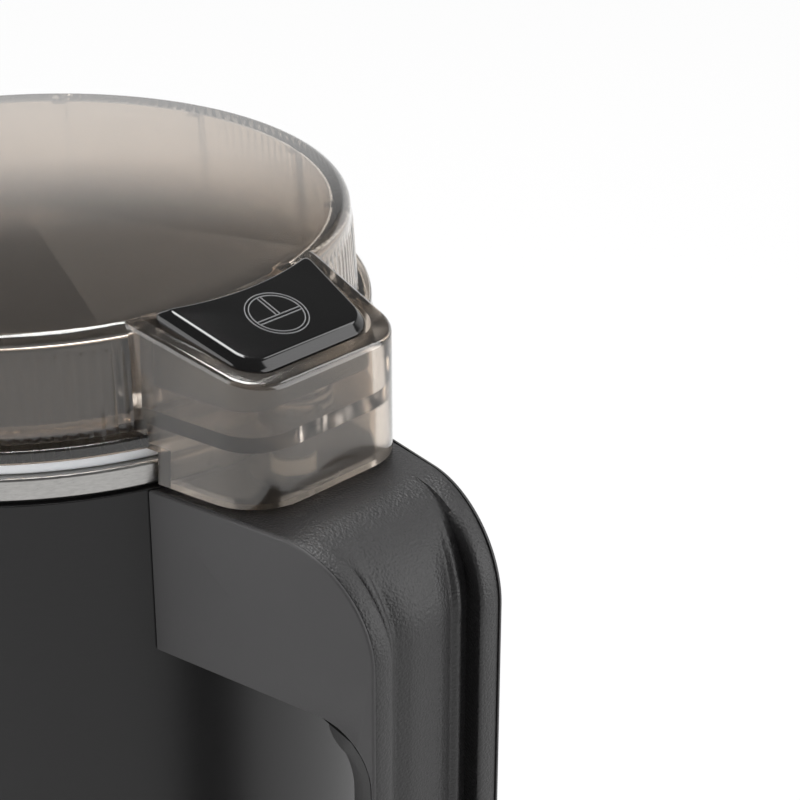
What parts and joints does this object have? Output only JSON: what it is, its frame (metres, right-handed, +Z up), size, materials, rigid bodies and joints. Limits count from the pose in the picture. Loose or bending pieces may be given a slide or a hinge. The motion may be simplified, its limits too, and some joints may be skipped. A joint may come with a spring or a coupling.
{
  "type": "electric spice grinder",
  "caption": "Electric spice grinder: round motor base with a side handle, lift-out steel cup with blade, smoky clear lid with a push button in its boss.",
  "frame": {"origin": "centre of the foot ring, on the surface that it stands on", "axes": "+Z up along the body's axis, +X towards the handle and the button"},
  "size_m": [0.1325, 0.0988, 0.192],
  "materials": {
    "rubber": "soft black rubber",
    "seal": "translucent white silicone",
    "base_plastic": "satin black moulding",
    "handle_plastic": "fine-grained dark grey moulding",
    "cover_plastic": "pebbled black moulding",
    "body_coating": "satin black coat over fine brushing",
    "housing_plastic": "dark moulding",
    "steel": "brushed stainless steel",
    "fastener": "zinc-plated steel",
    "aluminium": "die-cast aluminium",
    "laminations": "stacked steel laminations",
    "copper": "varnished copper wire",
    "bronze": "sintered bronze",
    "carbon": "carbon",
    "white_plastic": "white moulding",
    "smoky_clear": "smoky clear moulding",
    "button_black": "gloss black moulding"
  },
  "bodies": {
    "base": {"base_cover": "base_plastic", "base_screws": "fastener", "body_sleeve": "body_coating", "bowl_collar": "base_plastic", "brush_holders": "housing_plastic", "carbon_brushes": "carbon", "cord_gland": "base_plastic", "field_coils": "copper", "foot_ring": "rubber", "handle_cover": "cover_plastic", "handle_frame": "handle_plastic", "handle_liner": "rubber", "handle_screws": "fastener", "inner_housing": "housing_plastic", "lower_bearing": "steel", "motor_field_core": "laminations", "motor_grommets": "rubber", "motor_lower_bracket": "aluminium", "motor_mount_screws": "fastener", "motor_screws": "fastener", "motor_spacers": "fastener", "motor_upper_bracket": "aluminium", "plunger_guide": "base_plastic", "switch_body": "housing_plastic", "switch_bracket": "housing_plastic", "switch_screws": "fastener", "upper_bearing": "steel"},
    "armature": {"motor_shaft": "steel", "armature_core": "laminations", "armature_windings": "copper", "commutator": "copper", "cooling_fan": "white_plastic", "drive_coupling": "white_plastic"},
    "bowl": {"steel_cup": "steel", "cup_rim": "steel", "cup_base_plug": "housing_plastic", "blade_bush": "bronze", "shaft_seal": "rubber"},
    "blade_set": {"blade_shaft": "steel", "driven_coupling": "white_plastic", "blade": "steel", "blade_washer": "steel", "blade_nut": "steel"},
    "lid": {"lid_shell": "smoky_clear", "lid_seal": "seal", "button_spring": "steel"},
    "button": {"button_cap": "button_black", "button_stem": "button_black", "stem_clip": "steel"},
    "plunger": {"switch_plunger": "white_plastic", "switch_button": "white_plastic"}
  },
  "joints": [
    {"name": "motor_spin", "type": "hinge", "parent": "base", "child": "armature", "pos_m": [0, 0, 0.06], "axis": [0, 0, 1], "continuous": true},
    {"name": "bowl_lift", "type": "slide", "parent": "base", "child": "bowl", "axis": [0, 0, 1], "range_m": [0, 0.08]},
    {"name": "blade_spin", "type": "hinge", "parent": "bowl", "child": "blade_set", "pos_m": [0, 0, 0.112], "axis": [0, 0, 1], "continuous": true},
    {"name": "lid_lift", "type": "slide", "parent": "bowl", "child": "lid", "axis": [0, 0, 1], "range_m": [0, 0.05]},
    {"name": "button_press", "type": "slide", "parent": "lid", "child": "button", "axis": [0, 0, -1], "range_m": [0, 0.0022], "stiffness_N_per_m": 900, "springref_m": -0.002, "deforming": ["button_spring"]},
    {"name": "plunger_press", "type": "slide", "parent": "base", "child": "plunger", "axis": [0, 0, -1], "range_m": [0, 0.0022], "stiffness_N_per_m": 250, "springref_m": -0.002}
  ],
  "couplings": [
    {"joint": "blade_spin", "follows": "motor_spin", "ratio": 1},
    {"joint": "plunger_press", "follows": "button_press", "ratio": 1}
  ]
}
